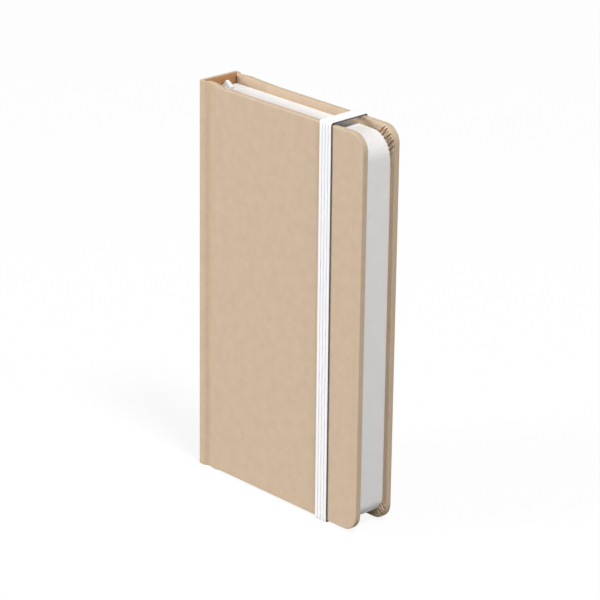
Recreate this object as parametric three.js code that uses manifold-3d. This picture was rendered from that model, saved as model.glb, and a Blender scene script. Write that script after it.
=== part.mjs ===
// A case-bound pocket diary that stands upright on its tail: kraft-paper covers, a flat spine, a pressed
// joint beside the spine, sewn sections, a ribbon marker and an elastic closure band.
// Millimetres, +Z up. Seen from the front cover (-Y) the spine is on the left (-X) and the fore-edge on
// the right (+X). The origin is the middle of the bounding box's bottom.
import * as THREE from "three";
import { mergeVertices } from "three/addons/utils/BufferGeometryUtils.js";
import Module from "manifold-3d";

const wasm = await Module();
wasm.setup();

// Driving sizes, in millimetres

// Case: two cover boards and a spine strip in one kraft paper sheet, folded over their edges
const boardHeight = 140;
const caseWidth = 80;
const boardThickness = 1.8;
const coverPaper = 0.2;
const coverCornerRadius = 6;
const turnIn = 14;
const spineOverhang = 0.7;

// Joint: the bare paper between spine and board, pressed into a groove
const jointWidth = 7.3;
const grooveDepth = 1.0;
const grooveFromSpine = 2.6;
const paperGap = 0.3;

// Endpapers: one folded sheet at each side, half of it glued to the board
const endpaper = 0.15;

// Text block: sewn sections, trimmed a little smaller than the covers
const sectionCount = 8;
const leavesPerSection = 16;
const leafThickness = 0.0875;
const headSquare = 2.7;
const foreEdgeSquare = 1.9;
const textCornerRadius = 8;

// Spine of the text block, from the folds outwards
const threadWidth = 0.6;
const threadThickness = 0.25;
const threadStations = 4;
const threadFromHead = 14;
const mullThickness = 0.2;
const mullFromHead = 12;
const liningThickness = 0.15;
const liningFromHead = 3;
const spineHollow = 0.1;

// Ribbon marker: glued to the folds at the head, then down between two sections
const ribbonWidth = 3.5;
const ribbonThickness = 0.15;
const ribbonClearance = 0.025;
const ribbonGlued = 10;
const ribbonFromBack = 4.85;
const ribbonInset = 0.4;
const ribbonRise = 1.3;
const ribbonBend = 0.4;
const ribbonTailGap = 7;
const sectionsBeforeRibbon = 4;

// Elastic closure band: round the front cover, its ends through two slots in the back board
const bandWidth = 6;
const bandThickness = 0.7;
const bandFromForeEdge = 14;
const bandSlotFromEdge = 18;
const bandSlotClearance = 0.15;
const bandTab = 9;

// Smoothness of the round corners, the groove and the ribbon's turn and bend
const cornerSteps = 8;
const bandCornerSteps = 3;
const grooveSteps = 6;
const twistSteps = 8;
const bendSteps = 6;

// How far a cutting solid reaches past the face that it opens
const overcut = 1;

// Sizes that follow from them

const sectionThickness = leavesPerSection * leafThickness;
const ribbonGap = ribbonThickness + 2 * ribbonClearance;
const textThickness = 2 * endpaper + sectionCount * sectionThickness + ribbonGap;
const wallThickness = boardThickness + 2 * coverPaper;
const coverThickness = wallThickness + endpaper;
const caseThickness = 2 * coverThickness + textThickness;

const tailZ = Math.max(spineOverhang, bandThickness);
const headZ = tailZ + boardHeight;
const textTailZ = tailZ + headSquare;
const textHeadZ = headZ - headSquare;

const jointStartX = wallThickness + paperGap;
const jointEndX = wallThickness + jointWidth - paperGap;
const boardX = wallThickness + jointWidth;
const grooveX = wallThickness + grooveFromSpine;
const liningX = wallThickness + spineHollow;
const mullX = liningX + liningThickness;
const threadX = mullX + mullThickness;
const foldX = threadX + threadThickness;
const textForeEdgeX = caseWidth - foreEdgeSquare;
const bandX = caseWidth - bandFromForeEdge - bandWidth;

const textFrontY = coverThickness;
const sectionsY = textFrontY + endpaper;
const ribbonY = sectionsY + sectionsBeforeRibbon * sectionThickness;
const textBackY = caseThickness - coverThickness;

// Materials

const kraft = { color: 0xcdb79e, roughness: 0.85, metalness: 0 };
const greyboard = { color: 0x9a8f82, roughness: 0.95, metalness: 0 };
const pagePaper = { color: 0xf3f0ee, roughness: 0.8, metalness: 0 };
const endsheet = { color: 0xefebe4, roughness: 0.8, metalness: 0 };
const gauze = { color: 0xe9e4d6, roughness: 0.95, metalness: 0 };
const thread = { color: 0xf4f1e8, roughness: 0.7, metalness: 0 };
const satin = { color: 0xfdfbfa, roughness: 0.45, metalness: 0 };
const elastic = { color: 0xf2f3f6, roughness: 0.75, metalness: 0 };

// Solids

// A geometry and a boolean solid, one made from the other
function solid(geometry) {
  const bare = geometry.index ? geometry.toNonIndexed() : geometry.clone();
  bare.deleteAttribute("normal");
  bare.deleteAttribute("uv");
  const merged = mergeVertices(bare, 1e-5);
  const vertProperties = new Float32Array(merged.attributes.position.array);
  const triVerts = new Uint32Array(merged.index.array);
  return new wasm.Manifold(new wasm.Mesh({ numProp: 3, vertProperties, triVerts }));
}

function geometryOf(manifold) {
  const { numProp, vertProperties, triVerts } = manifold.getMesh();
  const geometry = new THREE.BufferGeometry();
  const positions = [];
  for (let i = 0; i < vertProperties.length; i += numProp) {
    positions.push(vertProperties[i], vertProperties[i + 1], vertProperties[i + 2]);
  }
  geometry.setAttribute("position", new THREE.Float32BufferAttribute(positions, 3));
  geometry.setIndex(Array.from(triVerts));
  const flat = geometry.toNonIndexed();
  flat.computeVertexNormals();
  return flat;
}

function block(x0, x1, y0, y1, z0, z1) {
  const geometry = new THREE.BoxGeometry(x1 - x0, y1 - y0, z1 - z0);
  return geometry.translate((x0 + x1) / 2, (y0 + y1) / 2, (z0 + z1) / 2);
}

// An upright plate in XZ whose two fore-edge corners are round
function plate(x0, x1, y0, y1, z0, z1, radius) {
  const outline = new THREE.Shape();
  outline.moveTo(x0, z0);
  outline.lineTo(x1 - radius, z0);
  outline.absarc(x1 - radius, z0 + radius, radius, -Math.PI / 2, 0, false);
  outline.lineTo(x1, z1 - radius);
  outline.absarc(x1 - radius, z1 - radius, radius, 0, Math.PI / 2, false);
  outline.lineTo(x0, z1);
  const depth = y1 - y0;
  const geometry = new THREE.ExtrudeGeometry(outline, {
    depth,
    bevelEnabled: false,
    curveSegments: cornerSteps,
  });
  const upright = new THREE.Matrix4().makeBasis(
    new THREE.Vector3(1, 0, 0),
    new THREE.Vector3(0, 0, 1),
    new THREE.Vector3(0, -1, 0),
  );
  return geometry.applyMatrix4(upright).translate(0, y1, 0);
}

// A plate with the outline of the text block, which the flyleaves and the glued endpapers share
function leafPlate(x0, y0, y1) {
  return plate(x0, textForeEdgeX, y0, y1, textTailZ, textHeadZ, textCornerRadius);
}

// How far the pressed groove dips below the cover's face at a place x
function grooveDip(x) {
  const rise = x < grooveX
    ? (x - jointStartX) / (grooveX - jointStartX)
    : (jointEndX - x) / (jointEndX - grooveX);
  return (grooveDepth * (1 - Math.cos(Math.PI * rise))) / 2;
}

// The groove's section from outer to inner depth, drawn upwards from z0 to z1
function grooveStrip(outer, inner, z0, z1) {
  const xs = [];
  for (let i = 0; i <= grooveSteps; i++) {
    xs.push(jointStartX + ((grooveX - jointStartX) * i) / grooveSteps);
  }
  for (let i = 1; i <= grooveSteps; i++) {
    xs.push(grooveX + ((jointEndX - grooveX) * i) / grooveSteps);
  }
  const under = xs.map((x) => new THREE.Vector2(x, outer + grooveDip(x)));
  const over = xs.map((x) => new THREE.Vector2(x, inner + grooveDip(x))).reverse();
  const outline = new THREE.Shape([...under, ...over]);
  return new THREE.ExtrudeGeometry(outline, { depth: z1 - z0, bevelEnabled: false }).translate(0, 0, z0);
}

// The same piece at the back cover, turned inside out by the mirror and put right again
function mirrored(geometry) {
  const flat = geometry.index ? geometry.toNonIndexed() : geometry.clone();
  const p = flat.attributes.position;
  for (let i = 0; i < p.count; i++) {
    p.setY(i, caseThickness - p.getY(i));
  }
  for (let i = 0; i < p.count; i += 3) {
    const a = new THREE.Vector3().fromBufferAttribute(p, i + 1);
    const b = new THREE.Vector3().fromBufferAttribute(p, i + 2);
    p.setXYZ(i + 1, b.x, b.y, b.z);
    p.setXYZ(i + 2, a.x, a.y, a.z);
  }
  flat.computeVertexNormals();
  return flat;
}

// Case

// A cover board lies inside its paper, flush with the paper's free edge at the joint
function coverBoard() {
  const foreEdge = caseWidth - coverPaper;
  const radius = coverCornerRadius - coverPaper;
  return plate(boardX, foreEdge, coverPaper, coverPaper + boardThickness,
    tailZ + coverPaper, headZ - coverPaper, radius);
}

// The paper over a board: its outer face, its edges, and a turn-in on three sides of the inner face
function coverSheet() {
  const outer = solid(plate(boardX, caseWidth, 0, wallThickness, tailZ, headZ, coverCornerRadius));
  const well = solid(block(boardX - overcut, caseWidth - turnIn,
    wallThickness - coverPaper, wallThickness + overcut, tailZ + turnIn, headZ - turnIn));
  const radius = coverCornerRadius - coverPaper;
  const board = solid(plate(boardX - overcut, caseWidth - coverPaper,
    coverPaper, coverPaper + boardThickness, tailZ + coverPaper, headZ - coverPaper, radius));
  return geometryOf(outer.subtract(board).subtract(well));
}

// The glued half of an endpaper: it covers the turn-ins and sinks into the well between them
function pastedown() {
  const sheet = solid(leafPlate(boardX, wallThickness, coverThickness));
  const sunk = solid(block(boardX, caseWidth - turnIn, wallThickness - coverPaper,
    wallThickness + endpaper / 2, tailZ + turnIn, headZ - turnIn));
  return geometryOf(sheet.add(sunk));
}

function spineBoard() {
  return block(coverPaper, coverPaper + boardThickness, coverPaper, caseThickness - coverPaper,
    tailZ - spineOverhang + coverPaper, headZ + spineOverhang - coverPaper);
}

// The paper round the spine strip, turned in over its head and tail
function spineSheet() {
  const low = tailZ - spineOverhang;
  const high = headZ + spineOverhang;
  const outer = solid(block(0, wallThickness, 0, caseThickness, low, high));
  const well = solid(block(wallThickness - coverPaper, wallThickness + overcut,
    coverPaper, caseThickness - coverPaper, low + turnIn, high - turnIn));
  return geometryOf(outer.subtract(solid(spineBoard())).subtract(well));
}

function jointSheet() {
  return grooveStrip(0, coverPaper, tailZ, headZ);
}

function jointEndsheet() {
  return grooveStrip(coverPaper, coverPaper + endpaper, textTailZ, textHeadZ);
}

// Text block

function sectionFrontY(index) {
  const afterRibbon = index < sectionsBeforeRibbon ? 0 : ribbonGap;
  return sectionsY + index * sectionThickness + afterRibbon;
}

function section(index) {
  const y = sectionFrontY(index);
  return leafPlate(foldX, y, y + sectionThickness);
}

// One row of link stitches, from the middle of the first section to the middle of the last
function stitches(station) {
  const first = sectionFrontY(0) + sectionThickness / 2;
  const last = sectionFrontY(sectionCount - 1) + sectionThickness / 2;
  const pitch = (textHeadZ - textTailZ - 2 * threadFromHead) / (threadStations - 1);
  const z = textTailZ + threadFromHead + station * pitch;
  return block(threadX, foldX, first, last, z - threadWidth / 2, z + threadWidth / 2);
}

function mull() {
  return block(mullX, threadX, textFrontY, textBackY, textTailZ + mullFromHead, textHeadZ - mullFromHead);
}

function spineLining() {
  return block(liningX, mullX, textFrontY, textBackY, textTailZ + liningFromHead, textHeadZ - liningFromHead);
}

// The ribbon's rings: up along the folds, a quarter turn as it rises over the head, a hairpin bend,
// and down between the leaves. A ring starts at the tape's near edge.
function ribbonRings() {
  const half = ribbonThickness / 2;
  const glued = new THREE.Vector2(foldX - half, textBackY - ribbonFromBack - ribbonWidth / 2);
  const looseY = ribbonY + ribbonGap / 2;
  const raised = new THREE.Vector2(foldX + ribbonInset, looseY + 2 * ribbonBend);
  const loose = new THREE.Vector2(raised.x, looseY);
  const ring = (near, turn, lean, z) => {
    const wide = new THREE.Vector3(Math.cos(turn), Math.sin(turn), 0);
    const thick = new THREE.Vector3(-Math.sin(turn), Math.cos(turn), 0)
      .multiplyScalar(Math.cos(lean))
      .setZ(Math.sin(lean));
    const corners = [[0, -half], [ribbonWidth, -half], [ribbonWidth, half], [0, half]];
    return corners.map(([across, out]) => new THREE.Vector3(near.x, near.y, z)
      .addScaledVector(wide, across)
      .addScaledVector(thick, out));
  };
  const rings = [ring(glued, Math.PI / 2, 0, textHeadZ - ribbonGlued)];
  for (let i = 0; i <= twistSteps; i++) {
    const share = i / twistSteps;
    const turn = (Math.PI / 2) * (1 - share);
    rings.push(ring(glued.clone().lerp(raised, share), turn, 0, textHeadZ + ribbonRise * share));
  }
  for (let i = 1; i <= bendSteps; i++) {
    const lean = (Math.PI * i) / bendSteps;
    const near = new THREE.Vector2(raised.x, looseY + ribbonBend * (1 + Math.cos(lean)));
    rings.push(ring(near, 0, lean, textHeadZ + ribbonRise + ribbonBend * Math.sin(lean)));
  }
  rings.push(ring(loose, 0, Math.PI, textTailZ + ribbonTailGap));
  return rings;
}

// A flat tape with a rectangular section, joined ring by ring and closed at both ends
function ribbon() {
  const rings = ribbonRings();
  const points = [];
  const quad = (a, b, c, d) => points.push(a, b, c, a, c, d);
  // Both faces are split along the same diagonal, so that the twisted tape keeps its thickness
  for (let i = 0; i + 1 < rings.length; i++) {
    const [a, b, c, d] = rings[i];
    const [e, f, g, h] = rings[i + 1];
    quad(a, b, f, e);
    quad(b, c, g, f);
    quad(d, h, g, c);
    quad(d, a, e, h);
  }
  const first = rings[0];
  const last = rings[rings.length - 1];
  quad(first[3], first[2], first[1], first[0]);
  quad(last[0], last[1], last[2], last[3]);
  const geometry = new THREE.BufferGeometry().setFromPoints(points);
  geometry.computeVertexNormals();
  return geometry;
}

// Elastic band

// The loop round the cover, open at the back between its two slots
function bandLoop() {
  const t = bandThickness;
  const low = tailZ - t;
  const high = headZ + t;
  const front = -t;
  const back = caseThickness + t;
  const slotLow = tailZ + bandSlotFromEdge;
  const slotHigh = headZ - bandSlotFromEdge;
  const outline = new THREE.Shape();
  outline.moveTo(back, slotLow + t);
  outline.lineTo(caseThickness, slotLow + t);
  outline.lineTo(caseThickness, tailZ);
  outline.lineTo(0, tailZ);
  outline.lineTo(0, headZ);
  outline.lineTo(caseThickness, headZ);
  outline.lineTo(caseThickness, slotHigh - t);
  outline.lineTo(back, slotHigh - t);
  outline.absarc(back - t, high - t, t, 0, Math.PI / 2, false);
  outline.absarc(front + t, high - t, t, Math.PI / 2, Math.PI, false);
  outline.absarc(front + t, low + t, t, Math.PI, 1.5 * Math.PI, false);
  outline.absarc(back - t, low + t, t, 1.5 * Math.PI, 2 * Math.PI, false);
  const geometry = new THREE.ExtrudeGeometry(outline, {
    depth: bandWidth,
    bevelEnabled: false,
    curveSegments: bandCornerSteps,
  });
  const sideways = new THREE.Matrix4().makeBasis(
    new THREE.Vector3(0, 1, 0),
    new THREE.Vector3(0, 0, 1),
    new THREE.Vector3(1, 0, 0),
  );
  return geometry.applyMatrix4(sideways).translate(bandX, 0, 0);
}

// The side of an end that points to the middle of the cover: down at the head, up at the tail
function bandEndZ(atHead, fromEdge) {
  return atHead ? headZ - fromEdge : tailZ + fromEdge;
}

function spanZ(atHead, near, far) {
  const a = bandEndZ(atHead, near);
  const b = bandEndZ(atHead, far);
  return [Math.min(a, b), Math.max(a, b)];
}

// The hole that a band end needs: a slot through board and paper, and a bed for its glued tab
function bandEndHole(atHead) {
  const c = bandSlotClearance;
  const inner = caseThickness - wallThickness + coverPaper;
  const slot = spanZ(atHead, bandSlotFromEdge - c, bandSlotFromEdge + bandThickness + c);
  const bed = spanZ(atHead, bandSlotFromEdge - c, bandSlotFromEdge + bandThickness + bandTab + c);
  const x0 = bandX - c;
  const x1 = bandX + bandWidth + c;
  const through = solid(block(x0, x1, inner - overcut, caseThickness + overcut, ...slot));
  return through.add(solid(block(x0, x1, inner - overcut, inner + bandThickness, ...bed)));
}

// A band end: straight through the board, then flat under the glued endpaper
function bandEnd(atHead) {
  const inner = caseThickness - wallThickness + coverPaper;
  const slot = spanZ(atHead, bandSlotFromEdge, bandSlotFromEdge + bandThickness);
  const tab = spanZ(atHead, bandSlotFromEdge, bandSlotFromEdge + bandThickness + bandTab);
  const through = solid(block(bandX, bandX + bandWidth, inner, caseThickness, ...slot));
  const flat = solid(block(bandX, bandX + bandWidth, inner, inner + bandThickness, ...tab));
  return geometryOf(through.add(flat));
}

function withBandHoles(geometry) {
  return geometryOf(solid(geometry).subtract(bandEndHole(true)).subtract(bandEndHole(false)));
}

// Assembly

const diary = new THREE.Group();
diary.position.set(-caseWidth / 2, -caseThickness / 2, 0);

function add(name, geometry, look) {
  const mesh = new THREE.Mesh(geometry, new THREE.MeshStandardMaterial(look));
  mesh.name = name;
  diary.add(mesh);
}

add("front_board", coverBoard(), greyboard);
add("front_cover_paper", coverSheet(), kraft);
add("front_pastedown", pastedown(), endsheet);
add("front_joint_paper", jointSheet(), kraft);
add("front_joint_endpaper", jointEndsheet(), endsheet);
add("front_flyleaf", leafPlate(foldX, textFrontY, sectionsY), endsheet);

add("spine_board", spineBoard(), greyboard);
add("spine_paper", spineSheet(), kraft);
add("spine_lining", spineLining(), kraft);
add("spine_mull", mull(), gauze);
for (let i = 0; i < threadStations; i++) {
  add(`binding_thread_${i + 1}`, stitches(i), thread);
}

for (let i = 0; i < sectionCount; i++) {
  add(`page_section_${i + 1}`, section(i), pagePaper);
}
add("ribbon_marker", ribbon(), satin);

add("back_flyleaf", mirrored(leafPlate(foldX, textFrontY, sectionsY)), endsheet);
add("back_joint_endpaper", mirrored(jointEndsheet()), endsheet);
add("back_joint_paper", mirrored(jointSheet()), kraft);
add("back_pastedown", mirrored(pastedown()), endsheet);
add("back_board", withBandHoles(mirrored(coverBoard())), greyboard);
add("back_cover_paper", withBandHoles(mirrored(coverSheet())), kraft);

add("elastic_band", bandLoop(), elastic);
add("elastic_end_head", bandEnd(true), elastic);
add("elastic_end_tail", bandEnd(false), elastic);

export default diary;
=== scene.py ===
"""A pocket diary in kraft paper that stands on its tail, held shut by a white elastic band."""
import math
from types import SimpleNamespace

import bmesh
import bpy
from mathutils import Matrix, Vector


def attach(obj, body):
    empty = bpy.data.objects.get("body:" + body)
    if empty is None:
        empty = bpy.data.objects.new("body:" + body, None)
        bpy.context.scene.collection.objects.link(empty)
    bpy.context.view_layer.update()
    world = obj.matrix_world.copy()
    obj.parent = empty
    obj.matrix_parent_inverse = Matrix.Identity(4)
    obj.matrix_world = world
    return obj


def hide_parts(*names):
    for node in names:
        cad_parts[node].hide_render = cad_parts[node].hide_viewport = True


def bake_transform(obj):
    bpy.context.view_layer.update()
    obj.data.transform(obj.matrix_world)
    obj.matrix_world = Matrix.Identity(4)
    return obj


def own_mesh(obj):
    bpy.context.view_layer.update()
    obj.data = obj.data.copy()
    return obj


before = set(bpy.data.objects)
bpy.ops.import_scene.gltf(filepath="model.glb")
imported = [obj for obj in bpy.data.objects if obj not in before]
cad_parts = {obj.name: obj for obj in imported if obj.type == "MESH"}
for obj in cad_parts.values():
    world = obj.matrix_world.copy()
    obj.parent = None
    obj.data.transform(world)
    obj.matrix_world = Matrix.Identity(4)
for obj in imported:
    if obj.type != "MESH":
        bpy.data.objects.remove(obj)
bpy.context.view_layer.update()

# Sizes in millimetres: x from the spine's face, y from the front cover's face, z from the table
MM = 0.001
QUARTER = math.pi / 2
BOOK_WIDTH = 80.0
BOOK_THICKNESS = 16.4
TAIL = 0.7
HEAD = 140.7
WALL = 2.2
KRAFT = 0.2
COVER_CORNER = 6.0
EDGE_ROUNDING = 0.3

# The spine is taller than the covers, and its paper rolls inwards over the card's ends
SPINE_TAIL = 0.0
SPINE_HEAD = 141.4
SPINE_ROUNDING = 0.3
SPINE_SHOULDER = 0.9
SPINE_CAP_WIDTH = 1.2
SPINE_CAP_DROP = 1.6
# Painted shade: a dark brown strip lines the spine's inside, sunk this far into its wall and standing
# this far out
SHADE_STRIP_SUNK = 0.02
SHADE_STRIP_LIFT = 0.06

# The joint beside the spine: a groove pressed into the bare paper
SHEET = 0.45
JOINT_ROUNDING = 0.2
GROOVE_START = 1.9
GROOVE_BOTTOM = 4.3
GROOVE_END = 9.0
GROOVE_DEPTH = 0.9
BOARD_START = 9.5
SHEET_SPLIT = 1.6

# Where the paper's ends fall from the spine's height to the covers', at the front and at the back
FRONT_FALL = (6.2, 11.6)
BACK_FALL = (2.0, 24.0)

# Where the turned-in paper creases inside; from there, the steps to each slice's outer and inner face,
# and the depth of its inner face
FRONT_CREASE = 3.45
BACK_CREASE = 2.75
CREASE_STEPS = ((0.0, 0.0, 1.1), (0.15, 0.02, 1.75), (0.35, 0.1, 2.1), (0.65, 0.4, WALL))

# Where a cover's slices lie, closer together where its ends fall
JOINT_START = 2.0
JOINT_RISE = 4.4
BOARD_PLACES = (BOARD_START, 10.2, 11.0, 11.6, 12.8)
BOARD_PLAIN = 14.0

# Painted shade: the paper in the groove's hollow is darkened towards a browner tone
GROOVE_SHADE_TONE = (0.50, 0.30, 0.15)
GROOVE_SHADE_PLACE = 4.0
GROOVE_SHADE_WIDTH = 1.3
GROOVE_SHADE_STRENGTH = 0.16

# The text block and its endpapers
TEXT_TAIL = 3.4
TEXT_HEAD = 138.0
TEXT_FORE_EDGE = 78.1
TEXT_CORNER = 8.0
TEXT_TAIL_CORNER = 5.5
TEXT_FRONT = 2.35
TEXT_BACK = 14.05
FOLD = 2.9
FOLD_DEPTH = 0.7
ENDPAPER = 0.15
SECTIONS = 8
LEAVES = 16
SECTION_THICKNESS = 1.4
LEAF_FILL = 0.94
LEAF_ROUNDING = 0.0001
LEAF_PLAY = 0.01
LEAF_SEED = 7

# The leaves behind the ribbon close up again from here, over this run
SECTIONS_BEFORE_RIBBON = 4
RIBBON_GAP = 0.2
CLOSING_START = 8
CLOSING_RUN = 5

# Folds of the paper gathered inside a round corner, from the corner's centre: each starts by the leaves
# (across, up) and fades towards the cover's edge (across, up)
PLEATS = (
    (-0.3, 3.2, 1.7, 5.5),
    (0.8, 2.1, 2.7, 5.1),
    (1.65, 1.1, 4.2, 3.2),
    (3.2, -1.25, 5.7, 1.75),
    (3.7, -2.55, 6.0, -0.2),
)
PLEAT_LIFT = 0.2
PLEAT_RIDGE = 0.45
PLEAT_VALLEY = 0.66
RIDGE_OFFSET = 0.6
RIDGE_WIDTH = 0.34
VALLEY_WIDTH = 0.3

# Where the gathering starts and ends round a corner, in degrees from upright
PLEATS_START = -8
PLEATS_END_HEAD = 112
PLEATS_END_TAIL = 88

# The elastic band
BAND_X = 60.0
BAND_WIDTH = 6.0
BAND_THICKNESS = 0.7
BAND_SLOT = 18.0
BAND_END_DEPTH = 1.2
BAND_RIBS = 4
BAND_EDGE = 0.2
RIB_GAP = 0.12
RIB_ROUNDING = 0.42
BAND_RISE = 0.35
BAND_LEAN = 0.3
BAND_SLANT = 1.2

# The ribbon: glued to the folds, it humps over the text block and rolls down between the leaves
RIBBON_WIDTH = 3.5
RIBBON_HALF = 0.06
RIBBON_GLUED_END = 128.0
RIBBON_LOOSE_END = 10.4
RIBBON_GLUED_PLACE = (FOLD - 0.075, 7.45)
RIBBON_RAISED_PLACE = (3.3, 9.0)
RIBBON_LOOSE_Y = 8.2
RIBBON_HUMP = 2.15
RIBBON_ROLL = 0.4

# The hump is highest at this share of the ribbon's width, and lower by this share at the far edge
RIBBON_CREST = 0.4
RIBBON_DROOP = 0.85

# The camera, fitted to the photograph's edges; angles in degrees, distance in metres
CAMERA_AZIMUTH = 46.99
CAMERA_ELEVATION = 20.89
CAMERA_ROLL = 0.75
CAMERA_DISTANCE = 1.0003
CAMERA_LENS = 178.04
CAMERA_AIM = (45, 7.5, 70 + TAIL)
CAMERA_SHIFT = (-1.28, 1.97)

# The studio: softboxes by name, place in metres, size and power; the brightness of room and table
SOFTBOXES = (
    ("front softbox", (-1.38, -2.30, 0.745), 0.75, 54.5),
    ("side softbox", (1.32, -0.345, 2.575), 0.6, 69.75),
)
LIGHT_AIM = (0, 0, 0.07)
ROOM_STRENGTH = 0.12
TABLE_SIZE = 6
TABLE_BOUNCE = (0.42, 0.42, 0.42)
TABLE_SEEN = (0.98, 0.98, 0.98)
TABLE_GLOW = 0.9


def at(x, y, z):
    """Turn a place on the book, in millimetres, into the frame's metres."""
    return Vector(((x - BOOK_WIDTH / 2) * MM, (y - BOOK_THICKNESS / 2) * MM, z * MM))


def on_book(place):
    """Turn a place in the frame back into millimetres on the book."""
    return place.x / MM + BOOK_WIDTH / 2, place.y / MM + BOOK_THICKNESS / 2, place.z / MM


def smooth(t):
    """Ease from 0 to 1."""
    t = min(max(t, 0.0), 1.0)
    return t * t * (3 - 2 * t)


def scene_object(name, data):
    """Put a mesh, curve, light or camera into the scene."""
    item = bpy.data.objects.new(name, data)
    bpy.context.scene.collection.objects.link(item)
    return item


# Camera

def make_camera():
    """Place the camera where the photograph was taken from."""
    azimuth = math.radians(CAMERA_AZIMUTH)
    elevation = math.radians(CAMERA_ELEVATION)
    roll = math.radians(CAMERA_ROLL)
    back = Vector((
        math.sin(azimuth) * math.cos(elevation),
        -math.cos(azimuth) * math.cos(elevation),
        math.sin(elevation),
    ))
    level = Vector((math.cos(azimuth), math.sin(azimuth), 0))
    upright = back.cross(level)
    sideways, upwards = CAMERA_SHIFT
    target = at(*CAMERA_AIM) + (level * sideways + upright * upwards) * MM
    right = level * math.cos(roll) + upright * math.sin(roll)
    up = upright * math.cos(roll) - level * math.sin(roll)
    data = bpy.data.cameras.new("camera")
    data.sensor_width = 36
    data.lens = CAMERA_LENS
    data.clip_start = 0.05
    data.clip_end = 20
    camera = scene_object("camera", data)
    turn = Matrix((right, up, back)).transposed().to_4x4()
    camera.matrix_world = Matrix.Translation(target + back * CAMERA_DISTANCE) @ turn
    bpy.context.scene.camera = camera


# Materials

class Shader:
    """A material's node tree with short ways to add, link and mix."""

    def __init__(self, name):
        self.material = bpy.data.materials.new(name)
        self.material.use_nodes = True
        self.tree = self.material.node_tree
        self.surface = self.tree.nodes["Principled BSDF"]

    def add(self, kind, **values):
        return add_node(self.tree, kind, **values)

    def link(self, source, target):
        self.tree.links.new(source, target)

    def mix(self, share, first, second):
        """Mix two colours by a share; a colour is a tuple or another node's output."""
        node = self.add("ShaderNodeMix", data_type="RGBA", blend_type="MIX")
        self.link(share, node.inputs[0])
        for socket, colour in ((node.inputs[6], first), (node.inputs[7], second)):
            if isinstance(colour, tuple):
                socket.default_value = (*colour, 1)
            else:
                self.link(colour, socket)
        return node.outputs[2]

    def mark(self, name):
        """A value painted on the mesh, 0 where it has none."""
        return self.add("ShaderNodeAttribute", attribute_name=name).outputs["Fac"]

    def relief(self, height, strength, distance):
        """Raise the surface by a height."""
        node = self.add("ShaderNodeBump", Strength=strength, Distance=distance)
        self.link(height, node.inputs["Height"])
        self.link(node.outputs[0], self.surface.inputs["Normal"])


def add_node(tree, kind, **values):
    """Add a node, set its properties, and set its unlinked inputs by name."""
    node = tree.nodes.new(kind)
    for key, value in values.items():
        if hasattr(node, key):
            setattr(node, key, value)
        else:
            node.inputs[key.replace("_", " ")].default_value = value
    return node


def math_node(tree, operation, first, second=0.0):
    """Add a maths node on values or other nodes' outputs, and give its output."""
    node = tree.nodes.new("ShaderNodeMath")
    node.operation = operation
    for socket, value in zip(node.inputs, (first, second)):
        if isinstance(value, (int, float)):
            socket.default_value = value
        else:
            tree.links.new(value, socket)
    return node.outputs[0]


def new_group(name, inputs, outputs):
    """A shader node group; each input has a name, a kind of socket and a default."""
    group = bpy.data.node_groups.new(name, "ShaderNodeTree")
    for label, kind, value in inputs:
        socket = group.interface.new_socket(label, in_out="INPUT", socket_type=kind)
        if value is not None:
            socket.default_value = value
    for label in outputs:
        group.interface.new_socket(label, in_out="OUTPUT", socket_type="NodeSocketFloat")
    return group, group.nodes.new("NodeGroupInput"), group.nodes.new("NodeGroupOutput")


def make_fibre_group():
    """Short fibres lying three ways, soft cloudy mottling, and a fine tooth, as in uncoated paper."""
    group, given, result = new_group(
        "paper fibres",
        [("Vector", "NodeSocketVector", None), ("Fibre size", "NodeSocketFloat", 1.0),
         ("Cloud size", "NodeSocketFloat", 1.0)],
        ["Fibres", "Clouds", "Height"],
    )
    link = group.links.new

    def scaled(place, size):
        node = add_node(group, "ShaderNodeVectorMath", operation="SCALE")
        link(place, node.inputs[0])
        link(math_node(group, "DIVIDE", 1.0, given.outputs[size]), node.inputs["Scale"])
        return node.outputs[0]

    strands = []
    for turn, seed in ((0.35, 3.0), (1.35, 11.0), (2.45, 23.0)):
        mapping = add_node(group, "ShaderNodeMapping", Rotation=(turn, turn * 0.7, turn),
                           Location=(seed, seed, seed), Scale=(420, 5200, 5200))
        link(given.outputs["Vector"], mapping.inputs["Vector"])
        noise = add_node(group, "ShaderNodeTexNoise", Scale=1.0, Detail=1.5, Roughness=0.5,
                         Distortion=0.6)
        link(scaled(mapping.outputs[0], "Fibre size"), noise.inputs["Vector"])
        ramp = add_node(group, "ShaderNodeMapRange", clamp=True, From_Min=0.62, From_Max=0.78)
        link(noise.outputs[0], ramp.inputs["Value"])
        strands.append(ramp.outputs[0])
    most = math_node(group, "MAXIMUM", strands[0], strands[1])
    most = math_node(group, "MAXIMUM", most, strands[2])
    clouds = add_node(group, "ShaderNodeTexNoise", Scale=150.0, Detail=5.0, Roughness=0.55)
    link(scaled(given.outputs["Vector"], "Cloud size"), clouds.inputs["Vector"])
    tooth = add_node(group, "ShaderNodeTexNoise", Scale=9000.0, Detail=2.0)
    link(given.outputs["Vector"], tooth.inputs["Vector"])
    height = math_node(group, "MULTIPLY", most, 0.6)
    for layer, share in ((tooth, 0.5), (clouds, 0.8)):
        height = math_node(group, "ADD", height, math_node(group, "MULTIPLY", layer.outputs[0], share))
    link(most, result.inputs["Fibres"])
    link(clouds.outputs[0], result.inputs["Clouds"])
    link(height, result.inputs["Height"])
    return group


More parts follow.
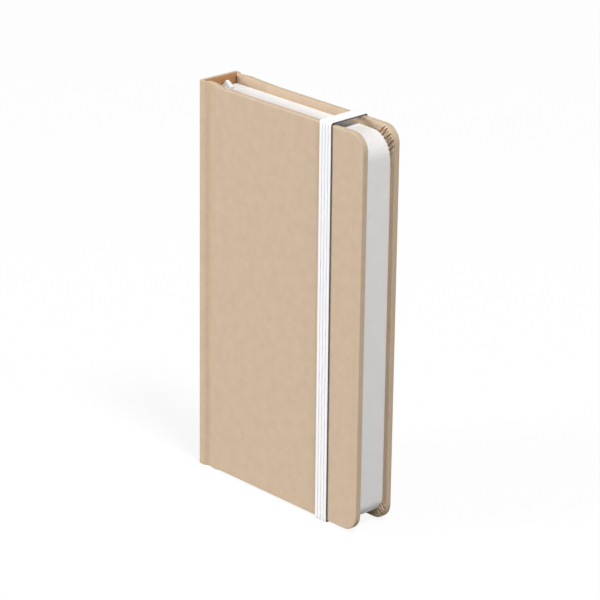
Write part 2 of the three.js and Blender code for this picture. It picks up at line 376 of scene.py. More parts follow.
def make_weave_group():
    """Threads that pass over and under each other, counted across and along a flat tape."""
    group, given, result = new_group(
        "weave",
        [("Across", "NodeSocketFloat", 0.0), ("Along", "NodeSocketFloat", 0.0),
         ("Thread pitch", "NodeSocketFloat", 0.0003)],
        ["Height", "Gaps"],
    )
    turns = math_node(group, "DIVIDE", 2 * math.pi, given.outputs["Thread pitch"])
    warp = math_node(group, "SINE", math_node(group, "MULTIPLY", given.outputs["Across"], turns))
    weft = math_node(group, "SINE", math_node(group, "MULTIPLY", given.outputs["Along"], turns))
    crossing = math_node(group, "MULTIPLY", warp, weft)
    height = math_node(group, "ADD", math_node(group, "MULTIPLY", crossing, 0.5), 0.5)
    gaps = math_node(group, "SUBTRACT", 1.0, math_node(group, "ABSOLUTE", crossing))
    gaps = math_node(group, "POWER", gaps, 4.0)
    group.links.new(height, result.inputs["Height"])
    group.links.new(gaps, result.inputs["Gaps"])
    return group


def paper_material(name, colour, dark, light, fibre_size, cloud_size, fibre_strength, cloud_strength,
                   bump, roughness=0.85):
    """Uncoated paper: its colour drifts between a darker and a lighter tone and shows its fibres;
    painted shade darkens the pleats' creases and the joint groove where a mesh marks them.
    """
    shader = Shader(name)
    place = shader.add("ShaderNodeTexCoord")
    fibres = shader.add("ShaderNodeGroup", node_tree=bpy.data.node_groups["paper fibres"],
                        Fibre_size=fibre_size, Cloud_size=cloud_size)
    shader.link(place.outputs["Object"], fibres.inputs["Vector"])
    drift = shader.add("ShaderNodeMapRange", clamp=True, From_Min=0.35, From_Max=0.65,
                       To_Min=0.5 - cloud_strength / 2, To_Max=0.5 + cloud_strength / 2)
    shader.link(fibres.outputs["Clouds"], drift.inputs["Value"])
    tone = shader.add("ShaderNodeValToRGB")
    tone.color_ramp.elements[0].color = (*dark, 1)
    tone.color_ramp.elements.new(0.5).color = (*colour, 1)
    tone.color_ramp.elements[-1].color = (*light, 1)
    shader.link(drift.outputs[0], tone.inputs[0])
    fibre_share = math_node(shader.tree, "MULTIPLY", fibres.outputs["Fibres"], fibre_strength)
    fibrous = shader.mix(fibre_share, tone.outputs[0], dark)
    # Painted shade: the "crease" mark darkens the paper towards a fifth of its dark tone in the pleats'
    # valleys.
    crease_shaded_tone = shader.mix(shader.mark("crease"), fibrous, tuple(0.2 * value for value in dark))
    # Painted shade: the groove's mark darkens the paper towards a brown tone in the joint's hollow.
    groove_shaded_tone = shader.mix(shader.mark("groove_shade"), crease_shaded_tone, GROOVE_SHADE_TONE)
    shader.link(groove_shaded_tone, shader.surface.inputs["Base Color"])
    rough = shader.add("ShaderNodeMapRange", To_Min=roughness + 0.05, To_Max=roughness - 0.08)
    shader.link(fibres.outputs["Fibres"], rough.inputs["Value"])
    shader.link(rough.outputs[0], shader.surface.inputs["Roughness"])
    shader.relief(fibres.outputs["Height"], bump, 0.03 * MM)
    shader.surface.inputs["Specular IOR Level"].default_value = 0.25
    return shader.material


def tape_material(name, colour, shade, pitch, roughness, bump, sheen, from_uv=False):
    """A woven tape: fine threads across and along it, darker where they dip."""
    shader = Shader(name)
    place = shader.add("ShaderNodeTexCoord")
    parts = shader.add("ShaderNodeSeparateXYZ")
    shader.link(place.outputs["UV" if from_uv else "Object"], parts.inputs[0])
    along = parts.outputs[1]
    if not from_uv:
        along = math_node(shader.tree, "ADD", along, parts.outputs[2])
    weave = shader.add("ShaderNodeGroup", node_tree=bpy.data.node_groups["weave"], Thread_pitch=pitch)
    shader.link(parts.outputs[0], weave.inputs["Across"])
    shader.link(along, weave.inputs["Along"])
    shader.link(shader.mix(weave.outputs["Gaps"], colour, shade), shader.surface.inputs["Base Color"])
    shader.surface.inputs["Roughness"].default_value = roughness
    shader.surface.inputs["Sheen Weight"].default_value = sheen
    shader.relief(weave.outputs["Height"], bump, 0.04 * MM)
    return shader.material


def make_materials():
    """Every material of the book, by a short name."""
    make_fibre_group()
    make_weave_group()
    return {
        "kraft": paper_material(
            "kraft paper", (0.61, 0.468, 0.335), (0.51, 0.38, 0.265), (0.68, 0.54, 0.40),
            fibre_size=1.0, cloud_size=0.6, fibre_strength=0.5, cloud_strength=0.22, bump=0.35),
        # Painted shade: a darker, browner copy of kraft paper for the shadowed inside of the spine.
        "spine_shade_paper": paper_material(
            "spine shade paper", (0.44, 0.225, 0.105), (0.37, 0.18, 0.08), (0.50, 0.265, 0.13),
            fibre_size=1.0, cloud_size=0.6, fibre_strength=0.4, cloud_strength=0.3, bump=0.4),
        "board": paper_material(
            "grey board", (0.32, 0.28, 0.23), (0.22, 0.19, 0.16), (0.42, 0.38, 0.33),
            fibre_size=1.4, cloud_size=0.5, fibre_strength=0.5, cloud_strength=0.9,
            bump=0.8, roughness=0.92),
        "page": paper_material(
            "page paper", (0.88, 0.865, 0.86), (0.84, 0.825, 0.82), (0.91, 0.90, 0.895),
            fibre_size=0.7, cloud_size=0.6, fibre_strength=0.12, cloud_strength=0.3,
            bump=0.15, roughness=0.82),
        "endpaper": paper_material(
            "endpaper", (0.86, 0.835, 0.79), (0.80, 0.77, 0.72), (0.90, 0.88, 0.84),
            fibre_size=0.8, cloud_size=0.8, fibre_strength=0.2, cloud_strength=0.15,
            bump=0.2, roughness=0.82),
        "gauze": tape_material(
            "glued gauze", (0.81, 0.77, 0.67), (0.55, 0.50, 0.40),
            pitch=0.0006, roughness=0.9, bump=0.6, sheen=0.1),
        "thread": tape_material(
            "sewing thread", (0.90, 0.88, 0.82), (0.6, 0.57, 0.5),
            pitch=0.0003, roughness=0.7, bump=0.6, sheen=0.2),
        "satin": tape_material(
            "white satin ribbon", (0.95, 0.94, 0.93), (0.86, 0.85, 0.85),
            pitch=0.00022, roughness=0.45, bump=0.25, sheen=0.2, from_uv=True),
        "elastic": tape_material(
            "white woven elastic", (0.95, 0.95, 0.965), (0.90, 0.90, 0.925),
            pitch=0.0005, roughness=0.75, bump=0.12, sheen=0.1),
        # Painted shade: a near-black copy of the elastic for the band's inner side and cut edges.
        "band_shade": tape_material(
            "grey painted band shade", (0.10, 0.10, 0.105), (0.05, 0.05, 0.055),
            pitch=0.0005, roughness=0.85, bump=0.4, sheen=0.1),
    }


# Mesh helpers

def mesh_object(name, shape, material, sharp_angle=35):
    """Close a bmesh into an object at the origin, faces outwards, smooth but for its sharp edges."""
    bmesh.ops.remove_doubles(shape, verts=shape.verts, dist=1e-7)
    bmesh.ops.recalc_face_normals(shape, faces=shape.faces)
    mesh = bpy.data.meshes.new(name)
    shape.to_mesh(mesh)
    shape.free()
    return link_mesh(name, mesh, material, sharp_angle)


def link_mesh(name, mesh, material, sharp_angle):
    """Make a mesh in one material into an object of the scene."""
    mesh.name = name
    mesh.materials.clear()
    mesh.materials.append(material)
    for polygon in mesh.polygons:
        polygon.use_smooth = True
        polygon.material_index = 0
    mesh.set_sharp_from_angle(angle=math.radians(sharp_angle))
    return scene_object(name, mesh)


def join_rings(shape, rings):
    """Skin a row of closed rings and cap both ends."""
    count = len(rings[0])
    for first, second in zip(rings, rings[1:]):
        for k in range(count):
            following = (k + 1) % count
            shape.faces.new((first[k], first[following], second[following], second[k]))
    shape.faces.new(rings[0])
    shape.faces.new(list(reversed(rings[-1])))


def rim_profile(thickness, radius, steps, cap):
    """Inset and depth of each point round an edge, from the outer face to the inner face.

    A cap gives the inner face a longer rounding of its own, as its width and its drop.
    """
    radius = min(radius, thickness / 2)
    width, drop = cap or (radius, radius)
    points = []
    for i in range(steps + 1):
        turn = QUARTER * i / steps
        points.append((radius * (1 - math.sin(turn)), radius * (1 - math.cos(turn))))
    for i in range(steps, -1, -1):
        turn = QUARTER * i / steps
        points.append((drop * (1 - math.sin(turn)), thickness - width * (1 - math.cos(turn))))
    return points


def column(outer, inner, low=TAIL, high=HEAD, rounding=EDGE_ROUNDING, corner=COVER_CORNER,
           tail_corner=None, turn=0.0, cap=None):
    """One upright slice of a sheet: where its faces are, how high it is, and how its ends are cut."""
    return SimpleNamespace(outer=Vector(outer), inner=Vector(inner), low=low, high=high,
                           rounding=rounding, corner=corner, tail_corner=tail_corner or corner,
                           turn=turn, cap=cap)


def column_point(upright, inset, depth, height_share):
    """A point of a slice, at a depth from its outer face and an inset from its cut edge."""
    thickness = (upright.inner - upright.outer).length
    x, y = upright.outer.lerp(upright.inner, depth / thickness)
    reach = upright.corner - inset
    run = reach * math.sin(upright.turn)
    tail_run = max(run - upright.corner + upright.tail_corner, 0.0)
    tail_rise = math.sqrt(max((upright.tail_corner - inset) ** 2 - tail_run ** 2, 0.0))
    low = upright.low + upright.tail_corner - tail_rise
    high = upright.high - upright.corner + reach * math.cos(upright.turn)
    return at(x + run, y, low + (high - low) * height_share)


def wrapped_sheet(columns, rows, rim_steps=4):
    """A closed sheet through a row of upright slices, its cut edges rounded."""
    shape = bmesh.new()
    profiles = [rim_profile((each.inner - each.outer).length, each.rounding, rim_steps, each.cap)
                for each in columns]
    last = len(profiles[0]) - 1

    def grid(index):
        return [[shape.verts.new(column_point(each, *profile[index], share)) for share in rows]
                for each, profile in zip(columns, profiles)]

    outer = grid(0)
    inner = grid(last)
    for i in range(len(columns) - 1):
        for j in range(len(rows) - 1):
            shape.faces.new((outer[i][j], outer[i + 1][j], outer[i + 1][j + 1], outer[i][j + 1]))
            shape.faces.new((inner[i][j], inner[i][j + 1], inner[i + 1][j + 1], inner[i + 1][j]))

    around = [(i, 0) for i in range(len(columns))]
    around += [(len(columns) - 1, j) for j in range(1, len(rows))]
    around += [(i, len(rows) - 1) for i in range(len(columns) - 2, -1, -1)]
    edges = []
    for i, j in around:
        middle = [shape.verts.new(column_point(columns[i], *profiles[i][k], rows[j]))
                  for k in range(1, last)]
        edges.append([outer[i][j], *middle, inner[i][j]])
    for first, second in zip(edges, edges[1:]):
        for k in range(last):
            shape.faces.new((first[k], first[k + 1], second[k + 1], second[k]))
    for j in range(len(rows) - 1):
        shape.faces.new((outer[0][j], outer[0][j + 1], inner[0][j + 1], inner[0][j]))
    shape.faces.new(edges[0])
    shape.faces.new(list(reversed(edges[-1])))
    return shape


def even_rows(count):
    """Shares of the height from tail to head, with a close row at each end."""
    margin = 0.004
    return [0.0, margin] + [i / count for i in range(1, count)] + [1 - margin, 1.0]


def groove_dip(x):
    """How deep the groove is pressed at a place beside the spine."""
    if not GROOVE_START < x < GROOVE_END:
        return 0.0
    if x < GROOVE_BOTTOM:
        rise = (x - GROOVE_START) / (GROOVE_BOTTOM - GROOVE_START)
    else:
        rise = (GROOVE_END - x) / (GROOVE_END - GROOVE_BOTTOM)
    return GROOVE_DEPTH * (1 - math.cos(math.pi * rise)) / 2


def cap_heights(x, fall_places):
    """The paper's tail and head ends, which fall from the taller spine to the cover boards."""
    start, end = fall_places
    fall = smooth((x - start) / (end - start))
    return SPINE_TAIL + (TAIL - SPINE_TAIL) * fall, SPINE_HEAD + (HEAD - SPINE_HEAD) * fall


def spread(start, end, count):
    """Evenly spaced values from start to end, in so many steps."""
    return [start + (end - start) * i / count for i in range(count + 1)]


def joint_and_board_columns(side, crease, fall):
    """Slices of a cover from the spine's shoulder to the fore-edge, as depths from the cover's face."""
    columns = []
    for x in spread(JOINT_START, crease - 0.15, 5):
        dip = groove_dip(x)
        columns.append(column((x, side(dip)), (x, side(dip + SHEET)), *cap_heights(x, fall),
                              JOINT_ROUNDING))
    # The turned-in paper bridges the groove inside, level with the board, and is creased by the spine
    bridge = [(crease + step, crease + inner_step, depth) for step, inner_step, depth in CREASE_STEPS]
    centre = BOOK_WIDTH - COVER_CORNER
    for x in (*spread(JOINT_RISE, GROOVE_END, 14), *BOARD_PLACES, *spread(BOARD_PLAIN, centre, 20)):
        bridge.append((x, x, WALL))
    for x, inner_x, depth in bridge:
        columns.append(column((x, side(groove_dip(x))), (inner_x, side(depth)), *cap_heights(x, fall)))
    for turn in spread(0.0, QUARTER, 14)[1:]:
        columns.append(column((centre, side(0.0)), (centre, side(WALL)), turn=turn))
    return columns


def front_side(depth):
    """Where a depth below the front cover's face lies."""
    return depth


def back_side(depth):
    """Where a depth below the back cover's face lies."""
    return BOOK_THICKNESS - depth


# Each cover with its depths and the body that it moves with
COVERS = (("front", front_side, "front_cover"), ("back", back_side, "back_case"))


# Case

def paint_groove_shade(piece, face_y):
    """Mark how strongly painted shade darkens and browns the outer face in the groove, for its paper
    material.
    """
    groove_shade = piece.data.attributes.new("groove_shade", "FLOAT", "POINT")
    for vertex, mark in zip(piece.data.vertices, groove_shade.data):
        x, y, _ = on_book(vertex.co)
        if abs(y - face_y) < GROOVE_DEPTH + 0.1:
            mark.value = GROOVE_SHADE_STRENGTH * math.exp(-((x - GROOVE_SHADE_PLACE) / GROOVE_SHADE_WIDTH) ** 2)


def split_column():
    """The bare edge of the paper where the front and the back sheet meet."""
    return column((SHEET_SPLIT, 0.0), (SHEET_SPLIT, KRAFT), SPINE_TAIL, SPINE_HEAD, KRAFT / 2)


def make_front_sheet(material):
    """The kraft paper over the front board, with its joint up to the spine's shoulder."""
    columns = [split_column()] + joint_and_board_columns(front_side, FRONT_CREASE, FRONT_FALL)
    piece = mesh_object("front_cover_sheet", wrapped_sheet(columns, even_rows(14)), material)
    paint_groove_shade(piece, 0.0)
    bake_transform(piece)
    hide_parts("front_cover_paper", "front_joint_paper")


def spine_columns():
    """Slices round the spine strip, from its front shoulder to its back shoulder."""
    def slice_at(outer, inner, cap=None):
        return column(outer, inner, SPINE_TAIL, SPINE_HEAD, cap=cap)

    r = SPINE_ROUNDING
    columns = [split_column(), slice_at((1.3, 0.0), (WALL, 0.21)), slice_at((1.0, 0.0), (WALL, 0.35))]
    for share in spread(0.0, 1.0, 6):
        turn = QUARTER * share
        outer = (r - r * math.sin(turn), r - r * math.cos(turn))
        columns.append(slice_at(outer, (WALL, 0.5 + 0.3 * share)))
    for y in spread(SPINE_SHOULDER, BOOK_THICKNESS - SPINE_SHOULDER, 10):
        columns.append(slice_at((0.0, y), (WALL, y), (SPINE_CAP_WIDTH, SPINE_CAP_DROP)))
    for share in spread(0.0, 1.0, 6):
        turn = QUARTER * share
        outer = (r - r * math.cos(turn), BOOK_THICKNESS - r + r * math.sin(turn))
        columns.append(slice_at(outer, (WALL, BOOK_THICKNESS - 0.8 + 0.2 * share)))
    columns.append(slice_at((1.4, BOOK_THICKNESS), (WALL, BOOK_THICKNESS - 0.5)))
    return columns


def make_spine_shade_strip(material):
    """A strip of dark brown paper over the inside of the spine, up over its rounded caps: painted shade
    for the kraft paper in shadow there.
    """
    cap = [(WALL - SPINE_CAP_WIDTH * (1 - math.cos(turn)), SPINE_CAP_DROP * (1 - math.sin(turn)))
           for turn in spread(0.0, 1.25, 8)]
    path = [(x, SPINE_TAIL + drop) for x, drop in reversed(cap)]
    path += [(x, SPINE_HEAD - drop) for x, drop in cap]
    outline = [(x - SHADE_STRIP_SUNK, z) for x, z in path] + [(x + SHADE_STRIP_LIFT, z) for x, z in reversed(path)]
    shoulder = SPINE_SHOULDER + 0.05
    shape = bmesh.new()
    rings = [[shape.verts.new(at(x, y, z)) for x, z in outline]
             for y in spread(shoulder, BOOK_THICKNESS - shoulder, 4)]
    join_rings(shape, rings)
    piece = mesh_object("spine_shade_strip", shape, material)
    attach(piece, "back_case")


def make_spine_board(material):
    """The card inside the spine, short enough for the paper to roll over its ends."""
    drop = SPINE_CAP_DROP + 0.1
    columns = [column((KRAFT, y), (WALL - KRAFT, y), SPINE_TAIL + drop, SPINE_HEAD - drop, 0.05)
               for y in spread(SPINE_SHOULDER, BOOK_THICKNESS - SPINE_SHOULDER, 4)]
    piece = mesh_object("spine_card", wrapped_sheet(columns, even_rows(4), 1), material)
    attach(piece, "back_case")
    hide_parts("spine_board")


def make_back_sheet(material):
    """The kraft paper round the spine, across the back joint and over the back board."""
    columns = spine_columns() + joint_and_board_columns(back_side, BACK_CREASE, BACK_FALL)[2:]
    piece = mesh_object("back_cover_sheet", wrapped_sheet(columns, even_rows(14)), material)
    paint_groove_shade(piece, BOOK_THICKNESS)
    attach(piece, "back_case")
    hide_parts("back_cover_paper", "back_joint_paper", "spine_paper")


def pleat_height(across, up):
    """Height of the gathered paper, a sharp valley between two soft ridges; and how deep its crease is,
    which also sets the painted shade that darkens the crease.
    """
    ridges = 0.0
    valleys = 0.0
    for start_across, start_up, end_across, end_up in PLEATS:
        run = Vector((end_across - start_across, end_up - start_up))
        offset = Vector((across - start_across, up - start_up))
        along = offset.dot(run) / run.length_squared
        aside = (offset.x * run.y - offset.y * run.x) / run.length
        reach = smooth((along + 0.3) / 0.2) * smooth((1.3 - along) / 0.35)
        valley_width = VALLEY_WIDTH * (1.1 - 0.5 * along)
        ridges = max(ridges, reach * math.exp(-((abs(aside) - RIDGE_OFFSET) / RIDGE_WIDTH) ** 2))
        valleys = max(valleys, reach * math.exp(-(aside / valley_width) ** 2))
    return PLEAT_LIFT + PLEAT_RIDGE * ridges - PLEAT_VALLEY * valleys, valleys


def corner_reach(turn, offset):
    """How far the cover's edge is from the leaves' corner centre, at its offset from the cover's own."""
    way = Vector((math.sin(turn), math.cos(turn)))
    if way.y > 0 and offset.x + way.x * (COVER_CORNER - offset.y) / way.y <= 0:
        return (COVER_CORNER - offset.y) / way.y
    if way.x > 0 and offset.y + way.y * (COVER_CORNER - offset.x) / way.x <= 0:
        return (COVER_CORNER - offset.x) / way.x
    lean = offset.dot(way)
    return -lean + math.sqrt(lean * lean - offset.length_squared + COVER_CORNER ** 2)


def make_corner_pleats(name, side, body, at_head, material):
    """The gathered paper inside a round cover corner, with painted shade in its creases."""
    centre_x = BOOK_WIDTH - COVER_CORNER
    if at_head:
        centre_z, upward, leaf_corner = HEAD - COVER_CORNER, 1, TEXT_CORNER
        last_turn, last_fade = math.radians(PLEATS_END_HEAD), 0.2
    else:
        centre_z, upward, leaf_corner = TAIL + COVER_CORNER, -1, TEXT_TAIL_CORNER
        last_turn, last_fade = math.radians(PLEATS_END_TAIL), 0.7
    first_turn = math.radians(PLEATS_START)
    offset = Vector((TEXT_FORE_EDGE - leaf_corner - centre_x,
                     TEXT_HEAD - leaf_corner - (HEAD - COVER_CORNER)))
    shape = bmesh.new()
    # Each vertex keeps its crease weight, which paints shade into the pleats' valleys through the paper
    # material.
    painted_crease_layer = shape.verts.layers.float.new("crease")
    rings = []
    for turn in spread(first_turn, last_turn, 170):
        inner = leaf_corner - 0.3
        outer = corner_reach(turn, offset) - EDGE_ROUNDING - 0.02
        ends = smooth((turn - first_turn) / 0.2) * smooth((last_turn - turn) / last_fade)
        ring = []
        for radius in spread(inner, outer, 30):
            across = offset.x + radius * math.sin(turn)
            up = offset.y + radius * math.cos(turn)
            fade = ends * smooth((radius - leaf_corner - 0.05) / 0.3) * smooth((outer - radius) / 0.5)
            height, crease = pleat_height(across, up)
            ring.append((across, up, WALL - 0.01 + fade * height, fade * crease))
        ring.append((*ring[-1][:2], WALL - 0.4, 0.0))
        ring.append((*ring[0][:2], WALL - 0.4, 0.0))
        vertices = []
        for across, up, depth, crease in ring:
            vertex = shape.verts.new(at(centre_x + across, side(depth), centre_z + upward * up))
            vertex[painted_crease_layer] = crease
            vertices.append(vertex)
        rings.append(vertices)
    join_rings(shape, rings)
    piece = mesh_object(name, shape, material, 50)
    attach(piece, body)


def leaf_columns(places, outer_y, inner_y, rounding):
    """Upright slices of a leaf at each place, and from the last place round its fore-edge corners."""
    stations = [(x, 0.0) for x in places]
    stations += [(places[-1], turn) for turn in spread(0.0, QUARTER, 12)[1:]]
    return [column((x, outer_y), (x, inner_y), TEXT_TAIL, TEXT_HEAD, rounding,
                   TEXT_CORNER, TEXT_TAIL_CORNER, turn) for x, turn in stations]


def make_endpapers(material):
    """The endpaper halves glued inside both covers, over the board and the joint."""
    places = spread(FRONT_CREASE + 0.4, TEXT_FORE_EDGE - TEXT_CORNER, 10)
    for cover, side, body in COVERS:
        columns = leaf_columns(places, side(WALL), side(WALL + ENDPAPER), 0.05)
        piece = mesh_object(f"{cover}_endpaper", wrapped_sheet(columns, even_rows(10), 2), material)
        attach(piece, body)
        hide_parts(f"{cover}_pastedown", f"{cover}_joint_endpaper")


# Text block

def leaf_shape(start_x, y, thickness, trim=0.0, bends=()):
    """A single leaf with round fore-edge corners, and extra slices where it has to bend."""
    places = (start_x, *bends, TEXT_FORE_EDGE - TEXT_CORNER - trim)
    return wrapped_sheet(leaf_columns(places, y, y + thickness, LEAF_ROUNDING), [0.0, 0.5, 1.0], 1)


def make_flyleaves(material):
    """The loose halves of the endpapers, which lie on the first and the last leaf."""
    for name, y, body in (("front_flyleaf_sheet", TEXT_FRONT, "section_1"),
                          ("back_flyleaf_sheet", TEXT_BACK - ENDPAPER, "back_case")):
        piece = mesh_object(name, leaf_shape(FOLD, y + 0.01, ENDPAPER - 0.02), material)
        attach(piece, body)
        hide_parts(name.replace("_sheet", ""))


def geometry_tree(name, inputs):
    """A Geometry Nodes tree that takes a mesh or curve and gives a mesh in its material."""
    tree = bpy.data.node_groups.new(name, "GeometryNodeTree")
    tree.interface.new_socket("Geometry", in_out="INPUT", socket_type="NodeSocketGeometry")
    for label, kind in (*inputs, ("Material", "Material")):
        tree.interface.new_socket(label, in_out="INPUT", socket_type=f"NodeSocket{kind}")
    tree.interface.new_socket("Geometry", in_out="OUTPUT", socket_type="NodeSocketGeometry")
    return tree, tree.nodes.new("NodeGroupInput"), tree.nodes.new("NodeGroupOutput")


def point_line(tree, count, pitch, axis):
    """Points in a line along an axis."""
    line = add_node(tree, "GeometryNodeMeshLine")
    step = add_node(tree, "ShaderNodeCombineXYZ")
    tree.links.new(count, line.inputs["Count"])
    tree.links.new(pitch, step.inputs[axis])
    tree.links.new(step.outputs[0], line.inputs["Offset"])
    return line.outputs[0]


def finish_tree(tree, points, instance, given, result):
    """Copy a shape to points, and end the tree in Realize Instances and Set Material."""
    link = tree.links.new
    copies = add_node(tree, "GeometryNodeInstanceOnPoints")
    realize = add_node(tree, "GeometryNodeRealizeInstances")
    paint = add_node(tree, "GeometryNodeSetMaterial")
    link(points, copies.inputs["Points"])
    link(instance, copies.inputs["Instance"])
    link(copies.outputs[0], realize.inputs[0])
    link(realize.outputs[0], paint.inputs["Geometry"])
    link(given.outputs["Material"], paint.inputs["Material"])
    link(paint.outputs[0], result.inputs[0])


def grown(name, source, tree, values, material, sharp_angle=35):
    """Run a Geometry Nodes tree on an object and keep the result as a plain mesh piece."""
    modifier = source.modifiers.new(name, "NODES")
    modifier.node_group = tree
    for item in tree.interface.items_tree:
        if item.item_type == "SOCKET" and item.in_out == "INPUT" and item.name in values:
            modifier[item.identifier] = values[item.name]
    bpy.context.view_layer.update()
    evaluated = source.evaluated_get(bpy.context.evaluated_depsgraph_get())
    mesh = bpy.data.meshes.new_from_object(evaluated)
    source.modifiers.remove(modifier)
    bpy.data.objects.remove(source)
    return link_mesh(name, mesh, material, sharp_angle)


def make_leaf_tree():
    """Stack copies of one leaf, each set a hair differently."""
    tree, given, result = geometry_tree("leaf stack", [
        ("Leaves", "Int"), ("Pitch", "Float"), ("Trim play", "Float"), ("Seed", "Int"),
    ])
    link = tree.links.new
    play = add_node(tree, "FunctionNodeRandomValue", data_type="FLOAT")
    link(given.outputs["Seed"], play.inputs["Seed"])
    link(math_node(tree, "MULTIPLY", given.outputs["Trim play"], -1.0), play.inputs[2])
    link(given.outputs["Trim play"], play.inputs[3])
    shift = add_node(tree, "ShaderNodeCombineXYZ")
    link(play.outputs[1], shift.inputs["X"])
    move = add_node(tree, "GeometryNodeSetPosition")
    link(point_line(tree, given.outputs["Leaves"], given.outputs["Pitch"], "Y"), move.inputs["Geometry"])
    link(shift.outputs[0], move.inputs["Offset"])
    finish_tree(tree, move.outputs[0], given.outputs["Geometry"], given, result)
    return tree


def section_front(index):
    """Where a section starts behind the front cover; the ribbon takes up its gap before the fifth."""
    after_ribbon = RIBBON_GAP if index >= SECTIONS_BEFORE_RIBBON else 0.0
    return TEXT_FRONT + ENDPAPER + index * SECTION_THICKNESS + after_ribbon


def close_behind_ribbon(piece, front):
    """Bend the leaves behind the ribbon back against the section before it, past the ribbon's width."""
    for vertex in piece.data.vertices:
        x, y, _ = on_book(vertex.co)
        share = (y - front) / SECTION_THICKNESS
        vertex.co.y -= RIBBON_GAP * MM * (1 - share) * smooth((x - CLOSING_START) / CLOSING_RUN)


def make_sections(material):
    """Eight sewn sections: sixteen leaves each, joined at the spine by a rounded fold."""
    tree = make_leaf_tree()
    pitch = SECTION_THICKNESS / LEAVES
    for index in range(SECTIONS):
        front = section_front(index)
        bends = ()
        if index == SECTIONS_BEFORE_RIBBON:
            bends = range(CLOSING_START, CLOSING_START + CLOSING_RUN + 1)
        shape = leaf_shape(FOLD + FOLD_DEPTH, front, pitch * LEAF_FILL, LEAF_PLAY, bends)
        leaf = mesh_object("leaf", shape, material)
        values = {"Leaves": LEAVES, "Pitch": pitch * MM, "Trim play": LEAF_PLAY * MM,
                  "Seed": LEAF_SEED + index, "Material": material}
        piece = grown(f"section_{index + 1}_leaves", leaf, tree, values, material)
        if bends:
            close_behind_ribbon(piece, front)
        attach(piece, f"section_{index + 1}")
        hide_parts(f"page_section_{index + 1}")
        fold = mesh_object(f"section_{index + 1}_fold", fold_shape(front), material)
        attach(fold, f"section_{index + 1}")


def fold_shape(front):
    """The rounded back of a folded section."""
    half = SECTION_THICKNESS / 2 - 0.01
    middle = front + SECTION_THICKNESS / 2
    outline = [(FOLD + FOLD_DEPTH * (1 - math.sin(turn)), middle + half * math.cos(turn))
               for turn in spread(0.0, math.pi, 8)]
    shape = bmesh.new()
    rings = [[shape.verts.new(at(x, y, z)) for x, y in outline] for z in spread(TEXT_TAIL, TEXT_HEAD, 6)]
    join_rings(shape, rings)
    return shape


# Elastic band

def make_band_tree():
    """Lay ribs side by side along a path."""
    tree, given, result = geometry_tree("ribbed band", [
        ("Ribs", "Int"), ("Rib width", "Float"), ("Rib pitch", "Float"), ("Thickness", "Float"),
    ])
    link = tree.links.new
    profile = add_node(tree, "GeometryNodeCurvePrimitiveQuadrilateral")
    link(given.outputs["Rib width"], profile.inputs["Width"])
    link(given.outputs["Thickness"], profile.inputs["Height"])
    fillet = add_node(tree, "GeometryNodeFilletCurve", mode="POLY", Count=3)
    link(profile.outputs[0], fillet.inputs["Curve"])
    link(math_node(tree, "MULTIPLY", given.outputs["Thickness"], RIB_ROUNDING), fillet.inputs["Radius"])
    sweep = add_node(tree, "GeometryNodeCurveToMesh", Fill_Caps=True)
    link(given.outputs["Geometry"], sweep.inputs["Curve"])
    link(fillet.outputs[0], sweep.inputs["Profile Curve"])
    points = point_line(tree, given.outputs["Ribs"], given.outputs["Rib pitch"], "X")
    finish_tree(tree, points, sweep.outputs[0], given, result)
    return tree


def band_path():
    """The middle line of the band: out of one slot, round tail, front and head, into the other slot."""
    half = BAND_THICKNESS / 2
    bend = BAND_THICKNESS
    slot_bend = bend * 0.7
    front = -half
    back = BOOK_THICKNESS + half
    low = TAIL - half
    high = HEAD + half + BAND_RISE
    back_high = high - BAND_RISE
    slot_low = TAIL + BAND_SLOT + bend / 2
    slot_high = HEAD - BAND_SLOT - bend / 2
    end = BOOK_THICKNESS - BAND_END_DEPTH
    points = []

    def arc(y, z, radius, start, end, steps=8):
        for turn in spread(start, end, steps):
            points.append((y + radius * math.cos(turn), z + radius * math.sin(turn)))

    points.append((end, slot_low))
    arc(back - slot_bend, slot_low - slot_bend, slot_bend, QUARTER, 0, 5)
    points += [(back, z) for z in spread(slot_low - 2, low + bend + 1, 4)]
    arc(back - bend, low + bend, bend, 0, -QUARTER)
    points += [(y, low) for y in spread(back - bend - 1, front + bend + 1, 4)]
    arc(front + bend, low + bend, bend, -QUARTER, -2 * QUARTER)
    points += [(front, z) for z in spread(low + bend + 1, high - bend - 1, 20)]
    arc(front + bend, high - bend, bend, 2 * QUARTER, QUARTER)
    for y in spread(front + bend + 1, back - bend - 1, 6):
        points.append((y, high - BAND_RISE * smooth(y / BOOK_THICKNESS)))
    arc(back - bend, back_high - bend, bend, QUARTER, 0)
    points += [(back, z) for z in spread(back_high - bend - 1, slot_high + 2, 4)]
    arc(back - slot_bend, slot_high + slot_bend, slot_bend, 0, -QUARTER, 5)
    points.append((end, slot_high))
    return points


def band_shift(y, z):
    """How far the stretched band strays sideways from a straight line round the book."""
    lean = BAND_LEAN * (1 - 2 * (z - TAIL) / (HEAD - TAIL))
    return lean - BAND_SLANT * smooth(y / BOOK_THICKNESS) * smooth((z - HEAD) / BAND_SLOT + 1)


def shows_band_shade(polygon):
    """Whether a face of the band is on its inner side or its cut edges, which are painted dark grey as
    shade.
    """
    x, y, z = on_book(polygon.center)
    if abs(polygon.normal.x) > 0.9:
        return abs(x - band_shift(y, z) - BAND_X - BAND_WIDTH / 2) > BAND_WIDTH / 2 - 2 * BAND_EDGE
    if 0 < y < BOOK_THICKNESS and TAIL < z < HEAD:
        return True
    if abs(polygon.normal.y) > abs(polygon.normal.z):
        return polygon.normal.y * polygon.center.y < 0
    return polygon.normal.z * (z - (TAIL + HEAD) / 2) < 0


